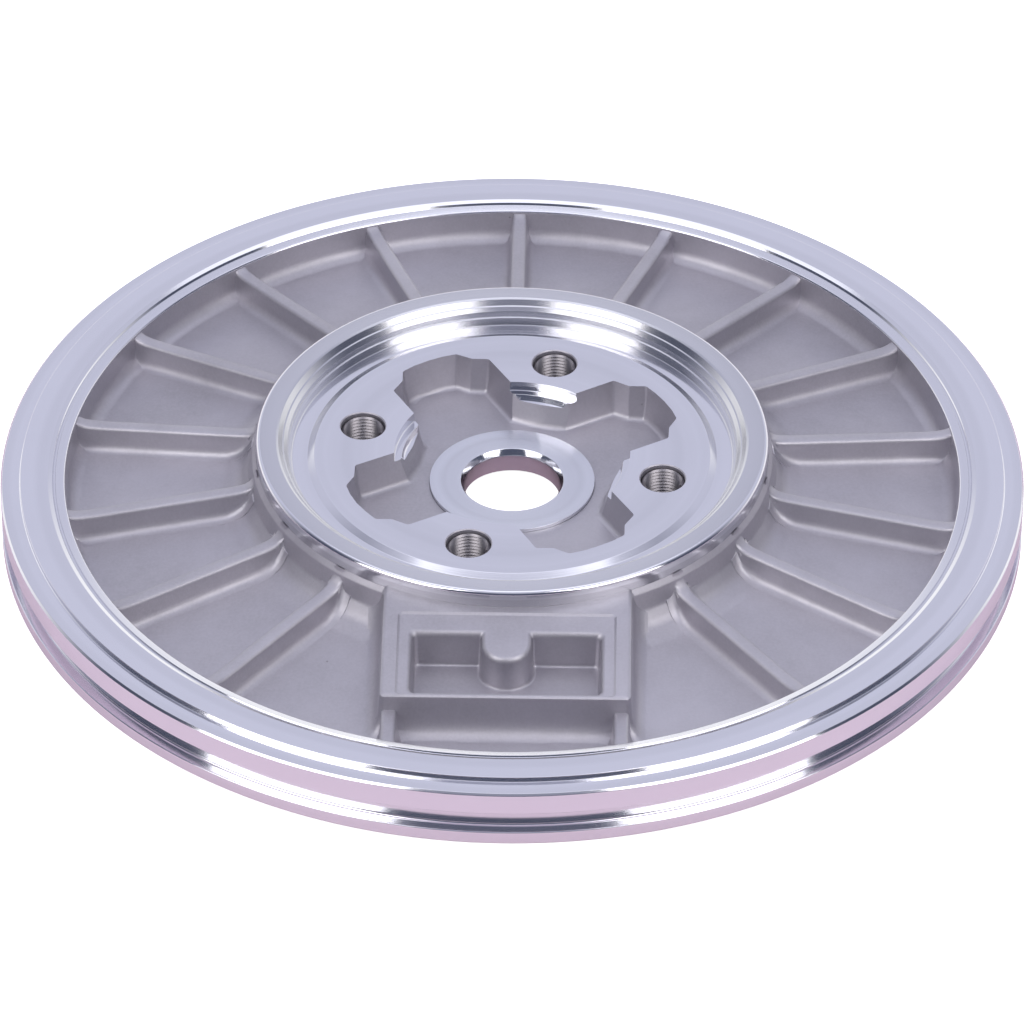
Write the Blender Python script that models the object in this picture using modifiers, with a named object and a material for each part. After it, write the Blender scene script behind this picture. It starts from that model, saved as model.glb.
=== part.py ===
"""Turbocharger back plate: an aluminium casting with its seal insert and four thread inserts.

The plate lies on its rim with the bearing-housing side up. +Z is up and the drain pad faces -Y.
Sizes below are in millimetres. The objects are made in metres.
"""
import math

import bmesh
import bpy
from mathutils import Matrix

MM = 0.001

# Rim
RIM_RADIUS = 100.2
RIM_HEIGHT = 13.2
LAND_OUTER_RADIUS = 96.3
LAND_INNER_RADIUS = 90.9
STEP_HEIGHT = 12.2
RIM_WALL_RADIUS = 88.6
GROOVE_TOP = 7.5
GROOVE_BOTTOM = 3.1
GROOVE_DEPTH = 2.3
EDGE_BREAK = 0.4

# Web between rim and hub
WEB_AT_RIM = 6.0
WEB_AT_HUB = 8.5
WEB_INNER_RADIUS = 57.0
WEB_OUTER_RADIUS = 85.5

# Hub ring and the seat of the bearing housing inside it
HUB_HEIGHT = 20.6
HUB_RADIUS = 50.2
HUB_MOUTH_RADIUS = 45.9
HUB_MOUTH_DEPTH = 1.9
HUB_SHOULDER_HEIGHT = 17.3
SEAT_WALL_RADIUS = 43.95
RELIEF_RADIUS = 43.3
RELIEF_TOP = 17.2
RELIEF_FLOOR = 15.95
SEAT_HEIGHT = 16.6
SEAT_RADIUS = 39.2

# Oil pocket in the seat: a round well, four lobes and a turned shelf between the lobes
POCKET_FLOOR = 9.1
WELL_RADIUS = 20.0
SHELF_RADIUS = 23.1
SHELF_HEIGHT = 14.6
LOBE_HALF_WIDTH = 10.85
LOBE_SHOULDER = 29.0
LOBE_NOTCH_X = 30.9
LOBE_NOTCH_HALF_WIDTH = 7.8
LOBE_END_HALF_WIDTH = 6.1
LOBE_END_RADIUS = 34.4
LOBE_ANGLE = 120.0
LOBES = 4

# Four blind tapped holes for the bearing-housing bolts, with their thread inserts
BOLTS = 4
BOLT_CIRCLE_RADIUS = 30.5
BOLT_ANGLE = 75.0
BOLT_HOLE_RADIUS = 4.4
BOLT_HOLE_BOTTOM = 6.8
THREAD_BORE_RADIUS = 3.4
THREAD_INSERT_TOP = 16.1
THREAD_INSERT_BOTTOM = 7.3

# Seal insert pressed into the middle from the compressor side
INSERT_RADIUS = 16.2
INSERT_TOP = 9.85
INSERT_FLANGE_RADIUS = 18.5
INSERT_FLANGE_TOP = 6.1
SEAL_BORE_RADIUS = 9.4
SEAL_BORE_CHAMFER = 0.5
FIT_GAP = 0.3

# Compressor side
WHEEL_RECESS_HEIGHT = 4.6
WHEEL_RECESS_RADIUS = 60.0
DIFFUSER_FACE_HEIGHT = 1.2
DIFFUSER_INNER_RADIUS = 62.0
FOOT_INNER_RADIUS = 94.0

# Ribs: every place of RIB_PITCH round the plate, apart from the three that the pad takes
RIB_PITCH = 20.0
RIB_PLACES = 18
PAD_PLACES = (0, 1, 17)
RIB_WIDTH_TOP = 2.8
RIB_WIDTH_FOOT = 4.2
RIB_FOOT_HEIGHT = 5.0
RIB_INNER_RADIUS = 51.5
RIB_OUTER_RADIUS = 89.0
RIB_TOP_INNER = 13.8
RIB_TOP_OUTER = 11.0
RIB_INNER_RUN_OUT = 1.6

# Drain pad
PAD_HALF_WIDTH = 23.7
PAD_FRONT = 75.0
PAD_HUB_RADIUS = 48.0
PAD_BOTTOM = 4.9
PAD_TOP_AT_HUB = 17.2
PAD_SLOPE = 0.08
PAD_POCKET_HALF_WIDTH = 17.9
PAD_POCKET_BACK = 57.0
PAD_POCKET_FRONT = 73.0
PAD_POCKET_FLOOR = 8.6
TONGUE_HALF_WIDTH = 4.8
TONGUE_FRONT = 64.4
LEG_OFFSET = 21.9
LEG_WIDTH = 3.2
LEG_TOP = 12.0

CUT_TOP = 25.0

TURN_STEPS = 72
HOLE_STEPS = 20
ARC_STEPS = 6


def clear_scene():
    for item in list(bpy.data.objects):
        bpy.data.objects.remove(item, do_unlink=True)


def new_collection(name):
    collection = bpy.data.collections.new(name)
    bpy.context.scene.collection.children.link(collection)
    return collection


def new_material(name, colour, roughness, metallic):
    material = bpy.data.materials.new(name)
    material.use_nodes = True
    shader = material.node_tree.nodes["Principled BSDF"]
    shader.inputs["Base Color"].default_value = (*colour, 1.0)
    shader.inputs["Roughness"].default_value = roughness
    shader.inputs["Metallic"].default_value = metallic
    material.diffuse_color = (*colour, 1.0)
    return material


def add_object(name, mesh, collection):
    item = bpy.data.objects.new(name, mesh)
    collection.objects.link(item)
    return item


def turned(name, profile, collection, steps=TURN_STEPS):
    """Turn a closed profile of (radius, height) points round Z."""
    mesh = bpy.data.meshes.new(name)
    points = [(radius * MM, 0.0, height * MM) for radius, height in profile]
    edges = [(i, (i + 1) % len(points)) for i in range(len(points))]
    mesh.from_pydata(points, edges, [])
    item = add_object(name, mesh, collection)
    screw = item.modifiers.new("Screw", "SCREW")
    screw.axis = "Z"
    screw.angle = math.tau
    screw.steps = steps
    screw.render_steps = steps
    screw.use_merge_vertices = True
    screw.merge_threshold = 0.00001
    screw.use_smooth_shade = False
    return item


def prism(name, outline, bottom, top, collection):
    """Raise a flat outline of (x, y) points from bottom to top. Top may be a function of y."""
    shape = bmesh.new()
    face = shape.faces.new([shape.verts.new((x * MM, y * MM, bottom * MM)) for x, y in outline])
    if face.normal.z > 0:
        face.normal_flip()
    raised = bmesh.ops.extrude_face_region(shape, geom=[face])["geom"]
    for vert in (part for part in raised if isinstance(part, bmesh.types.BMVert)):
        vert.co.z = (top(vert.co.y / MM) if callable(top) else top) * MM
    bmesh.ops.recalc_face_normals(shape, faces=shape.faces)
    mesh = bpy.data.meshes.new(name)
    shape.to_mesh(mesh)
    shape.free()
    return add_object(name, mesh, collection)


def arc(radius, start, end, steps=ARC_STEPS, centre=(0.0, 0.0)):
    """Points of an arc, with its angles in degrees."""
    angles = [math.radians(start + (end - start) * i / steps) for i in range(steps + 1)]
    return [(centre[0] + radius * math.cos(a), centre[1] + radius * math.sin(a)) for a in angles]


def join(name, items, collection):
    """Join separate bodies into one object."""
    shape = bmesh.new()
    for item in items:
        mesh = item.data.copy()
        mesh.transform(item.matrix_world)
        shape.from_mesh(mesh)
        bpy.data.meshes.remove(mesh)
        bpy.data.objects.remove(item, do_unlink=True)
    mesh = bpy.data.meshes.new(name)
    shape.to_mesh(mesh)
    shape.free()
    return add_object(name, mesh, collection)


def boolean(item, operation, tool):
    modifier = item.modifiers.new(operation.title(), "BOOLEAN")
    modifier.operation = operation
    modifier.solver = "EXACT"
    modifier.object = tool


def freeze(item):
    """Replace an object's mesh with the result of its modifiers."""
    bpy.context.view_layer.update()
    evaluated = item.evaluated_get(bpy.context.evaluated_depsgraph_get())
    mesh = bpy.data.meshes.new_from_object(evaluated)
    item.modifiers.clear()
    item.data = mesh
    return item


def casting_profile():
    """Section of the plate before its ribs, pad, pocket and holes, from the bore round to the foot."""
    groove_radius = RIM_RADIUS - GROOVE_DEPTH
    counterbore_top = INSERT_FLANGE_TOP + FIT_GAP
    return [
        (INSERT_RADIUS + FIT_GAP, SEAT_HEIGHT),
        (SEAT_RADIUS, SEAT_HEIGHT),
        (SEAT_RADIUS + 0.4, RELIEF_FLOOR),
        (RELIEF_RADIUS, RELIEF_FLOOR),
        (RELIEF_RADIUS, RELIEF_TOP),
        (SEAT_WALL_RADIUS, RELIEF_TOP),
        (SEAT_WALL_RADIUS, HUB_HEIGHT - HUB_MOUTH_DEPTH),
        (HUB_MOUTH_RADIUS, HUB_HEIGHT),
        (HUB_RADIUS - EDGE_BREAK, HUB_HEIGHT),
        (HUB_RADIUS, HUB_HEIGHT - EDGE_BREAK),
        (HUB_RADIUS, HUB_SHOULDER_HEIGHT),
        (HUB_RADIUS + 0.8, HUB_SHOULDER_HEIGHT),
        (HUB_RADIUS + 1.4, HUB_SHOULDER_HEIGHT - 4.3),
        (HUB_RADIUS + 3.0, WEB_AT_HUB + 1.7),
        (WEB_INNER_RADIUS, WEB_AT_HUB),
        (WEB_OUTER_RADIUS, WEB_AT_RIM),
        (RIM_WALL_RADIUS - 1.0, WEB_AT_RIM + 0.8),
        (RIM_WALL_RADIUS - 0.2, WEB_AT_RIM + 3.0),
        (RIM_WALL_RADIUS + 0.3, RIM_HEIGHT - 0.8),
        (LAND_INNER_RADIUS, RIM_HEIGHT),
        (LAND_OUTER_RADIUS, RIM_HEIGHT),
        (LAND_OUTER_RADIUS + 0.2, STEP_HEIGHT),
        (RIM_RADIUS - EDGE_BREAK, STEP_HEIGHT),
        (RIM_RADIUS, STEP_HEIGHT - EDGE_BREAK),
        (RIM_RADIUS, GROOVE_TOP),
        (groove_radius, GROOVE_TOP),
        (groove_radius, GROOVE_BOTTOM),
        (RIM_RADIUS, GROOVE_BOTTOM),
        (RIM_RADIUS, EDGE_BREAK),
        (RIM_RADIUS - EDGE_BREAK, 0.0),
        (FOOT_INNER_RADIUS, 0.0),
        (FOOT_INNER_RADIUS - 0.4, DIFFUSER_FACE_HEIGHT),
        (DIFFUSER_INNER_RADIUS, DIFFUSER_FACE_HEIGHT),
        (WHEEL_RECESS_RADIUS, WHEEL_RECESS_HEIGHT),
        (INSERT_FLANGE_RADIUS + FIT_GAP, WHEEL_RECESS_HEIGHT),
        (INSERT_FLANGE_RADIUS + FIT_GAP, counterbore_top),
        (INSERT_RADIUS + FIT_GAP, counterbore_top),
    ]


def pad_top(y):
    """Height of the pad's sloping top at y."""
    return PAD_TOP_AT_HUB - PAD_SLOPE * (-y - HUB_RADIUS)


def make_rib(place, cutters):
    """A tapered bar along +X whose top falls towards the rim, turned to its place."""
    shape = bmesh.new()
    bmesh.ops.create_cube(shape, size=2.0)
    for vert in shape.verts:
        at_rim = vert.co.x > 0
        at_top = vert.co.z > 0
        width = RIB_WIDTH_TOP if at_top else RIB_WIDTH_FOOT
        radius = RIB_OUTER_RADIUS if at_rim else RIB_INNER_RADIUS + (RIB_INNER_RUN_OUT if at_top else 0.0)
        top = RIB_TOP_OUTER if at_rim else RIB_TOP_INNER
        height = top if at_top else RIB_FOOT_HEIGHT
        vert.co = (radius * MM, vert.co.y * width / 2 * MM, height * MM)
    mesh = bpy.data.meshes.new("rib")
    shape.to_mesh(mesh)
    shape.free()
    item = add_object("rib", mesh, cutters)
    item.matrix_world = Matrix.Rotation(math.radians(place * RIB_PITCH - 90.0), 4, "Z")
    return item


def make_ribs(cutters):
    places = [place for place in range(RIB_PLACES) if place not in PAD_PLACES]
    return join("ribs", [make_rib(place, cutters) for place in places], cutters)


def make_pad(cutters):
    """The block of the drain pad, which runs into the hub ring."""
    corner = math.degrees(math.acos(PAD_HALF_WIDTH / PAD_HUB_RADIUS))
    outline = [(-PAD_HALF_WIDTH, -PAD_FRONT), (PAD_HALF_WIDTH, -PAD_FRONT)]
    outline += arc(PAD_HUB_RADIUS, -corner, corner - 180.0)
    return prism("pad", outline, PAD_BOTTOM, pad_top, cutters)


def make_leg(side, cutters):
    """A short rib from the pad's front wall to the rim."""
    inner = side * (LEG_OFFSET - LEG_WIDTH / 2)
    outer = side * (LEG_OFFSET + LEG_WIDTH / 2)
    left, right = sorted((inner, outer))
    rim_y = -math.sqrt(RIB_OUTER_RADIUS ** 2 - LEG_OFFSET ** 2)
    outline = [(left, rim_y), (right, rim_y), (right, 1.0 - PAD_FRONT), (left, 1.0 - PAD_FRONT)]
    return prism("leg", outline, RIB_FOOT_HEIGHT, LEG_TOP, cutters)


def make_pad_pocket(cutters):
    """The pocket in the pad: a rectangle with a round-ended tongue left standing from its back wall."""
    tongue_centre = (0.0, TONGUE_HALF_WIDTH - TONGUE_FRONT)
    outline = [
        (-PAD_POCKET_HALF_WIDTH, -PAD_POCKET_FRONT),
        (PAD_POCKET_HALF_WIDTH, -PAD_POCKET_FRONT),
        (PAD_POCKET_HALF_WIDTH, -PAD_POCKET_BACK),
        (TONGUE_HALF_WIDTH, -PAD_POCKET_BACK),
    ]
    outline += arc(TONGUE_HALF_WIDTH, 360.0, 180.0, 8, tongue_centre)
    outline += [(-TONGUE_HALF_WIDTH, -PAD_POCKET_BACK), (-PAD_POCKET_HALF_WIDTH, -PAD_POCKET_BACK)]
    return prism("pad_pocket", outline, PAD_POCKET_FLOOR, CUT_TOP, cutters)


def lobe_points():
    """One quarter of the pocket's outline, for a lobe along +X."""
    corner = math.degrees(math.asin(LOBE_HALF_WIDTH / WELL_RADIUS))
    end = math.degrees(math.asin(LOBE_END_HALF_WIDTH / LOBE_END_RADIUS))
    right_side = [(LOBE_SHOULDER, -LOBE_HALF_WIDTH), (LOBE_NOTCH_X, -LOBE_NOTCH_HALF_WIDTH)]
    left_side = [(x, -y) for x, y in reversed(right_side)]
    well = arc(WELL_RADIUS, corner, 90.0 - corner)
    return right_side + arc(LOBE_END_RADIUS, -end, end, 4) + left_side + well


def turn_points(points, degrees):
    cosine = math.cos(math.radians(degrees))
    sine = math.sin(math.radians(degrees))
    return [(x * cosine - y * sine, x * sine + y * cosine) for x, y in points]


def make_pocket(cutters):
    outline = []
    for lobe in range(LOBES):
        outline += turn_points(lobe_points(), LOBE_ANGLE + lobe * 360.0 / LOBES)
    return prism("pocket", outline, POCKET_FLOOR, CUT_TOP, cutters)


def make_shelf(cutters):
    """The turned shelf that the pocket leaves standing between its lobes."""
    profile = [(0.0, CUT_TOP), (SHELF_RADIUS, CUT_TOP), (SHELF_RADIUS, SHELF_HEIGHT), (0.0, SHELF_HEIGHT)]
    return freeze(turned("shelf", profile, cutters, TURN_STEPS))


def bolt_places():
    """The centres of the four bolt holes."""
    angles = [math.radians(BOLT_ANGLE + 360.0 * i / BOLTS) for i in range(BOLTS)]
    return [(BOLT_CIRCLE_RADIUS * math.cos(a), BOLT_CIRCLE_RADIUS * math.sin(a)) for a in angles]


def make_bolt_hole(place, cutters):
    """A blind hole with a broken edge at its mouth."""
    outline = [
        (0.0, CUT_TOP),
        (BOLT_HOLE_RADIUS + 0.4, CUT_TOP),
        (BOLT_HOLE_RADIUS + 0.4, SEAT_HEIGHT),
        (BOLT_HOLE_RADIUS, SEAT_HEIGHT - 0.4),
        (BOLT_HOLE_RADIUS, BOLT_HOLE_BOTTOM),
        (0.0, BOLT_HOLE_BOTTOM),
    ]
    return placed(freeze(turned("bolt_hole", outline, cutters, HOLE_STEPS)), place)


def placed(item, place):
    item.location = (place[0] * MM, place[1] * MM, 0.0)
    return item


def make_back_plate(parts, cutters):
    """The casting: a turned plate with ribs, drain pad, oil pocket and bolt holes."""
    casting = turned("back_plate", casting_profile(), parts)
    freeze(casting)
    tools = [("UNION", make_ribs(cutters)), ("UNION", make_pad(cutters))]
    tools += [("UNION", make_leg(side, cutters)) for side in (-1, 1)]
    tools += [("DIFFERENCE", make_pad_pocket(cutters))]
    tools += [("DIFFERENCE", make_shelf(cutters)), ("DIFFERENCE", make_pocket(cutters))]
    tools += [("DIFFERENCE", make_bolt_hole(place, cutters)) for place in bolt_places()]
    for operation, tool in tools:
        boolean(casting, operation, tool)
    freeze(casting)
    casting.data.materials.append(new_material("cast_aluminium", (0.60, 0.59, 0.64), 0.45, 1.0))
    return casting


def make_seal_insert(parts):
    """A turned ring with a flange on the compressor side and a broken edge at each end of its bore."""
    profile = [
        (SEAL_BORE_RADIUS + SEAL_BORE_CHAMFER, INSERT_TOP),
        (INSERT_RADIUS - EDGE_BREAK, INSERT_TOP),
        (INSERT_RADIUS, INSERT_TOP - EDGE_BREAK),
        (INSERT_RADIUS, INSERT_FLANGE_TOP),
        (INSERT_FLANGE_RADIUS, INSERT_FLANGE_TOP),
        (INSERT_FLANGE_RADIUS, WHEEL_RECESS_HEIGHT),
        (SEAL_BORE_RADIUS + SEAL_BORE_CHAMFER, WHEEL_RECESS_HEIGHT),
        (SEAL_BORE_RADIUS, WHEEL_RECESS_HEIGHT + SEAL_BORE_CHAMFER),
        (SEAL_BORE_RADIUS, INSERT_TOP - SEAL_BORE_CHAMFER),
    ]
    ring = freeze(turned("seal_insert", profile, parts))
    ring.data.materials.append(new_material("seal_steel", (0.62, 0.62, 0.66), 0.25, 1.0))
    return ring


def make_thread_insert(number, place, material, parts):
    """A threaded sleeve, plain here, in a bolt hole."""
    outer = BOLT_HOLE_RADIUS - FIT_GAP
    profile = [
        (THREAD_BORE_RADIUS, THREAD_INSERT_TOP),
        (outer, THREAD_INSERT_TOP),
        (outer, THREAD_INSERT_BOTTOM),
        (THREAD_BORE_RADIUS, THREAD_INSERT_BOTTOM),
    ]
    sleeve = placed(freeze(turned(f"thread_insert_{number}", profile, parts, HOLE_STEPS)), place)
    sleeve.data.materials.append(material)
    return sleeve


def main():
    clear_scene()
    parts = new_collection("turbo_back_plate")
    cutters = new_collection("cutters")
    make_back_plate(parts, cutters)
    make_seal_insert(parts)
    thread_steel = new_material("thread_steel", (0.42, 0.40, 0.41), 0.35, 1.0)
    for number, place in enumerate(bolt_places(), start=1):
        make_thread_insert(number, place, thread_steel, parts)
    for tool in cutters.objects:
        tool.hide_render = True
        tool.display_type = "WIRE"


main()
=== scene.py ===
import math

import bmesh
import bpy
from mathutils import Matrix, Vector, noise


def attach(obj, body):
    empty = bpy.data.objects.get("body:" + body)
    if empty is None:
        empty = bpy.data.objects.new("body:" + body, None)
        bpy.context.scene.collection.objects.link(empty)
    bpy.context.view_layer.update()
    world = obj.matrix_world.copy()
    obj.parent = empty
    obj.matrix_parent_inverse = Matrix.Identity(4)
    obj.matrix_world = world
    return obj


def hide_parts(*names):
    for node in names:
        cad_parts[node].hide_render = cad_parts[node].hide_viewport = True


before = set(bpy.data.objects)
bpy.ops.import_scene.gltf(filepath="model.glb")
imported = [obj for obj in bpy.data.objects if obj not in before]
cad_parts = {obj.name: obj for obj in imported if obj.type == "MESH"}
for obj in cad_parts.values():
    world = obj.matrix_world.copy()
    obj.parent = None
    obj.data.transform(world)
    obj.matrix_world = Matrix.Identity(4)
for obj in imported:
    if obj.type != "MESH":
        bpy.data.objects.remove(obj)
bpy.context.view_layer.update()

bl_info = {
    "name": "Turbocharger back plate",
    "version": (1, 0, 0),
    "blender": (4, 5, 0),
    "location": "View3D > Sidebar > Back plate",
    "description": "Builds the machined casting, its seal insert and thread inserts, and a studio stage",
    "category": "Object",
}

MM = 0.001
CAST, FACE, WALL, HUB = 0, 1, 2, 3
PLATE_NAME = "plate_casting"

# sizes in millimetres
CUT_TOP = 24.0
RIB_START, RIB_SLOPE_START, RIB_END = 50.4, 51.5, 88.0
LEG_START, LEG_END, LEG_SIDE = 66.0, 85.1, 21.9
LEG_WIDTH, LEG_TOP, LEG_FILLET = 2.9, 12.0, 1.2
COIL_RADIUS, COIL_HEIGHT, COIL_FOOT = 3.78, 8.3, 7.6
COIL_PITCH, WIRE_RADIUS = 0.75, 0.36

# steps round a full turn
PLATE_STEPS, SEAL_STEPS, HOLE_STEPS = 288, 192, 48

# stage, with distances in metres and angles in degrees
FLOOR_HALF, FLOOR_DROP = 3.0, 0.0002
SOFTBOX_AZIMUTH, SOFTBOX_ELEVATION, SOFTBOX_DISTANCE = 47.0, 38.0, 0.9
SOFTBOX_SIZE, SOFTBOX_TINT = (0.55, 0.7), (1.0, 0.98, 0.98)
TOP_BOX_PLACE, TOP_BOX_SIZE, TOP_BOX_TINT = (0.0, 0.35, 1.1), (0.9, 0.6), (0.96, 0.97, 1.0)
TOP_BOX_SHARE = 0.38
CLIP_START, CLIP_END = 0.1, 20.0
SENSOR_WIDTH_MM = 36.0


# ---------------------------------------- settings

def length(name, default, description):
    return bpy.props.FloatProperty(
        name=name, default=default * MM, min=0.0, precision=5, subtype="DISTANCE", unit="LENGTH",
        description=description)


def colour(name, default, description):
    return bpy.props.FloatVectorProperty(
        name=name, default=default, min=0.0, max=1.0, size=3, subtype="COLOR", description=description)


class PlateSizes(bpy.types.PropertyGroup):
    """Driving sizes of the turned plate."""

    rim_radius: length("Rim radius", 100.2, "Outer radius of the rim")
    rim_height: length("Rim height", 13.2, "Height of the rim's top land above its foot")
    step_height: length("Step height", 12.2, "Height of the narrow step outside the top land")
    groove_top: length("Groove top", 7.5, "Upper edge of the O-ring groove")
    groove_bottom: length("Groove bottom", 3.1, "Lower edge of the O-ring groove")
    groove_depth: length("Groove depth", 2.3, "Depth of the O-ring groove")
    hub_radius: length("Hub radius", 50.2, "Radius of the turned spigot round the seat")
    hub_height: length("Hub height", 20.6, "Height of the hub ring above the foot")
    seat_height: length("Seat height", 16.6, "Height of the seat for the bearing housing")
    seat_radius: length("Seat radius", 39.0, "Radius of the seat inside its relief")


class PocketSizes(bpy.types.PropertyGroup):
    """Oil pocket, turned shelf and bolt holes in the seat."""

    floor: length("Pocket floor", 9.1, "Height of the cast pocket floor")
    lobe_half_width: length("Lobe half width", 10.85, "Half the width of each lobe")
    lobe_reach: length("Lobe reach", 34.4, "Radius that the lobes reach")
    shelf_radius: length("Shelf radius", 23.1, "Radius of the turned shelf between the lobes")
    shelf_height: length("Shelf height", 14.6, "Height of the turned shelf")
    bolt_circle: length("Bolt circle radius", 30.5, "Radius of the circle of bolt holes")
    bolt_hole: length("Bolt hole radius", 4.4, "Radius of the bolt holes")


class RibSizes(bpy.types.PropertyGroup):
    """Cast ribs between hub and rim."""

    count: bpy.props.IntProperty(name="Ribs", default=15, min=1, description="Number of ribs")
    pitch: bpy.props.FloatProperty(
        name="Pitch", default=math.radians(20.0), subtype="ANGLE", unit="ROTATION",
        description="Angle from one rib to the next")
    width: length("Width", 3.0, "Width of a rib at its top")
    top_at_hub: length("Top at hub", 13.9, "Height of the rib's top beside the hub")
    top_at_rim: length("Top at rim", 11.0, "Height of the rib's top beside the rim")
    fillet: length("Fillet", 1.7, "Radius of the fillet along the rib's foot")


class PadSizes(bpy.types.PropertyGroup):
    """Drain pad in front of the hub."""

    half_width: length("Half width", 23.7, "Half the width of the pad")
    front: length("Front", 75.0, "Distance of the pad's front wall from the shaft axis")
    height: length("Height", 17.2, "Height of the pad's top beside the hub")
    pocket_half_width: length("Pocket half width", 17.9, "Half the width of the pocket in the pad")
    pocket_floor: length("Pocket floor", 8.6, "Height of the pocket's floor")
    tongue_half_width: length("Tongue half width", 4.8, "Half the width of the tongue in the pocket")


class Finishes(bpy.types.PropertyGroup):
    """Colours of the metals and of the stage."""

    cast: colour("Cast aluminium", (0.515, 0.50, 0.54), "As-cast skin of the plate")
    turned: colour("Turned aluminium", (0.86, 0.86, 0.90), "Machined faces of the plate")
    seal: colour("Seal insert", (0.80, 0.81, 0.86), "Turned ring round the shaft bore")
    # the bore's darker, reddish colour is a painted reflection of the shaded floor below
    bore: colour("Seal bore", (0.60, 0.54, 0.58), "Seal insert bore, darkened and reddened as a painted reflection of the shaded floor")
    thread: colour("Thread insert", (0.36, 0.34, 0.36), "Wire thread inserts")
    floor: colour("Floor", (0.84, 0.68, 0.76), "Tint that the studio floor gives to reflections")


class StageSettings(bpy.types.PropertyGroup):
    """Camera and lights."""

    azimuth: bpy.props.FloatProperty(
        name="Azimuth", default=math.radians(0.9), subtype="ANGLE", unit="ROTATION",
        description="Angle of the camera round the plate, from the drain pad towards +X")
    elevation: bpy.props.FloatProperty(
        name="Elevation", default=math.radians(37.023), subtype="ANGLE", unit="ROTATION",
        description="Angle of the camera above the floor")
    distance: bpy.props.FloatProperty(
        name="Distance", default=1.5, subtype="DISTANCE", unit="LENGTH",
        description="Distance of the camera from the middle of the rim's top land")
    lens: bpy.props.FloatProperty(name="Lens", default=269.14, description="Focal length in millimetres")
    tilt: bpy.props.FloatProperty(
        name="Tilt", default=math.radians(0.346), subtype="ANGLE", unit="ROTATION",
        description="How far below the middle of the plate the camera aims")
    roll: bpy.props.FloatProperty(
        name="Roll", default=math.radians(0.21), subtype="ANGLE", unit="ROTATION",
        description="Roll of the camera about its own axis")
    softbox_power: bpy.props.FloatProperty(name="Softbox power", default=3.2, description="Power in watts")


class BackPlateSettings(bpy.types.PropertyGroup):
    """All settings of the back plate."""

    plate: bpy.props.PointerProperty(type=PlateSizes)
    pocket: bpy.props.PointerProperty(type=PocketSizes)
    ribs: bpy.props.PointerProperty(type=RibSizes)
    pad: bpy.props.PointerProperty(type=PadSizes)
    finishes: bpy.props.PointerProperty(type=Finishes)
    stage: bpy.props.PointerProperty(type=StageSettings)


# ---------------------------------------- shader groups

def new_group(name, inputs, outputs):
    """An empty shader group with float or vector sockets."""
    group = bpy.data.node_groups.new(name, "ShaderNodeTree")
    kinds = {"f": "NodeSocketFloat", "v": "NodeSocketVector", "c": "NodeSocketColor"}
    for socket, kind, default in inputs:
        made = group.interface.new_socket(socket, in_out="INPUT", socket_type=kinds[kind])
        if default is not None:
            made.default_value = default
    for socket, kind in outputs:
        group.interface.new_socket(socket, in_out="OUTPUT", socket_type=kinds[kind])
    return group, group.nodes.new("NodeGroupInput"), group.nodes.new("NodeGroupOutput")


def add_node(tree, kind, settings=None, values=None, links=None):
    """Make a node, set its properties and input values, and link its inputs."""
    node = tree.nodes.new(kind)
    for key, value in (settings or {}).items():
        setattr(node, key, value)
    for key, value in (values or {}).items():
        node.inputs[key].default_value = value
    for key, socket in (links or {}).items():
        tree.links.new(socket, node.inputs[key])
    return node


def math_node(tree, operation, first, second=None):
    node = tree.nodes.new("ShaderNodeMath")
    node.operation = operation
    for index, value in enumerate((first, second)):
        if value is None:
            continue
        if isinstance(value, (int, float)):
            node.inputs[index].default_value = value
        else:
            tree.links.new(value, node.inputs[index])
    return node.outputs[0]


def mix_colour(tree, factor, first, second, blend="MIX"):
    node = tree.nodes.new("ShaderNodeMix")
    node.data_type = "RGBA"
    node.blend_type = blend
    sockets = {"Factor": node.inputs[0], "A": node.inputs[6], "B": node.inputs[7]}
    for key, value in (("Factor", factor), ("A", first), ("B", second)):
        if isinstance(value, (int, float)):
            sockets[key].default_value = value
        elif isinstance(value, tuple):
            sockets[key].default_value = value
        else:
            tree.links.new(value, sockets[key])
    return node.outputs[2]


def ramp(tree, factor, stops):
    """A colour ramp of grey stops, each (position, value)."""
    node = tree.nodes.new("ShaderNodeValToRGB")
    node.color_ramp.elements[0].position = stops[0][0]
    node.color_ramp.elements[0].color = (stops[0][1],) * 3 + (1.0,)
    node.color_ramp.elements[1].position = stops[-1][0]
    node.color_ramp.elements[1].color = (stops[-1][1],) * 3 + (1.0,)
    for position, value in stops[1:-1]:
        node.color_ramp.elements.new(position).color = (value,) * 3 + (1.0,)
    tree.links.new(factor, node.inputs[0])
    return node.outputs[0]


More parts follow.
